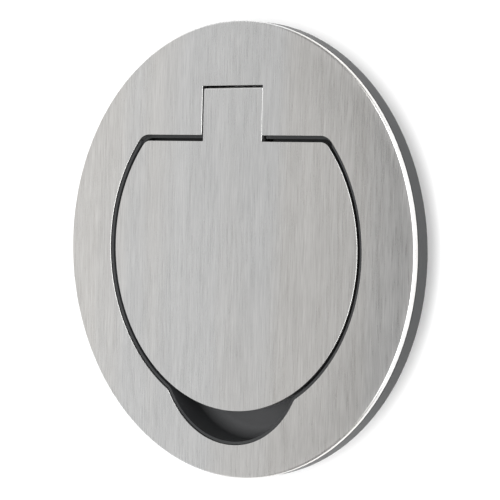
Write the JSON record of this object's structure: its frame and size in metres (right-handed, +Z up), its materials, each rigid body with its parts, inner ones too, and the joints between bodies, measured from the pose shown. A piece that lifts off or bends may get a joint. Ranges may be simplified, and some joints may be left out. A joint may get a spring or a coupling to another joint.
{
  "type": "desk grommet",
  "caption": "Round desk cable grommet with a brushed steel face ring, a flush hinged steel lid with a tab, and a rounded cable notch at the lid's free edge.",
  "frame": {"origin": "on the collar's axis, in the plane where the flange rests on the desk top", "axes": "+Z up out of the desk, +Y from the middle of the lid towards its hinge, +X to the right seen from above with the hinge at the top"},
  "size_m": [0.0904, 0.0904, 0.0112],
  "materials": {
    "brushed_steel": "brushed stainless steel, straight grain along Y",
    "plated_steel": "bright zinc-plated steel",
    "dark_plastic": "dark grey moulded plastic with a fine spark texture",
    "black_rubber": "black soft rubber",
    "gasket_foam": "black closed-cell foam",
    "white_acetal": "natural white acetal"
  },
  "bodies": {
    "base": {"face_ring": "brushed_steel", "ring_studs": "brushed_steel", "ring_washers": "plated_steel", "ring_nuts": "plated_steel", "housing": "dark_plastic", "rim_gasket": "gasket_foam", "grip_ring_upper": "black_rubber", "grip_ring_lower": "black_rubber", "hinge_pin": "plated_steel", "hinge_retainer_left": "dark_plastic", "hinge_retainer_right": "dark_plastic", "retainer_screws": "plated_steel", "lid_bumper_left": "black_rubber", "lid_bumper_right": "black_rubber"},
    "lid": {"lid_plate": "brushed_steel", "lid_studs": "brushed_steel", "lid_washers": "plated_steel", "lid_nuts": "plated_steel", "lid_carrier": "dark_plastic", "hinge_bush_left": "white_acetal", "hinge_bush_right": "white_acetal"}
  },
  "joints": [
    {"name": "lid_hinge", "type": "hinge", "parent": "base", "child": "lid", "pos_m": [0, 0.02585, 0.001], "axis": [-1, 0, 0], "range_deg": [0, 105]}
  ]
}
